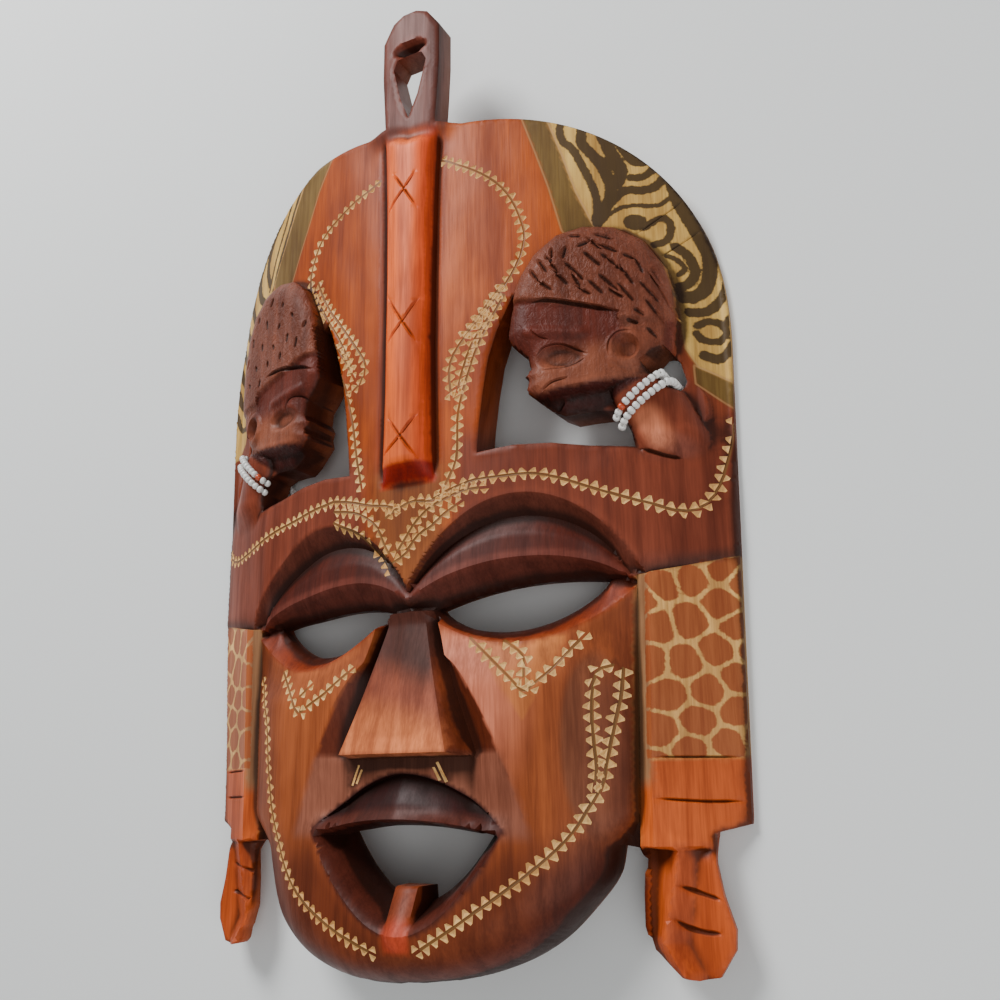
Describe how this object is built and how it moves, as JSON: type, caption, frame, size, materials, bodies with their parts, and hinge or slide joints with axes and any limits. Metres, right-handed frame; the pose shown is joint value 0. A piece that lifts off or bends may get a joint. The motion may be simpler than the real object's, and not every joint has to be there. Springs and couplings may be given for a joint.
{
  "type": "carved wooden wall mask",
  "caption": "Half-log wooden wall mask with open eyes and mouth, two openwork profile heads wearing bead necklaces, side pendants and a carved hanging loop",
  "frame": {"origin": "centre of the bounding box at table level, with the mask lying on its hollow back", "axes": "+X to the right of the face as seen from above, +Y from the chin to the hanging loop, +Z out of the face"},
  "size_m": [0.222, 0.3642, 0.0416],
  "materials": {
    "carved_wood": "stained red-brown and orange, waxed to a soft sheen, with burnt and chip-carved light patterns",
    "white_bead": "opaque glossy white seed beads",
    "red_bead": "opaque glossy orange-red seed bead"
  },
  "bodies": {
    "root": {"mask_body": "carved_wood", "necklace_right_upper": "white_bead", "necklace_right_lower": "white_bead", "necklace_left_upper": "white_bead", "necklace_left_lower": "white_bead", "red_bead_right": "red_bead", "red_bead_left": "red_bead"}
  },
  "joints": []
}
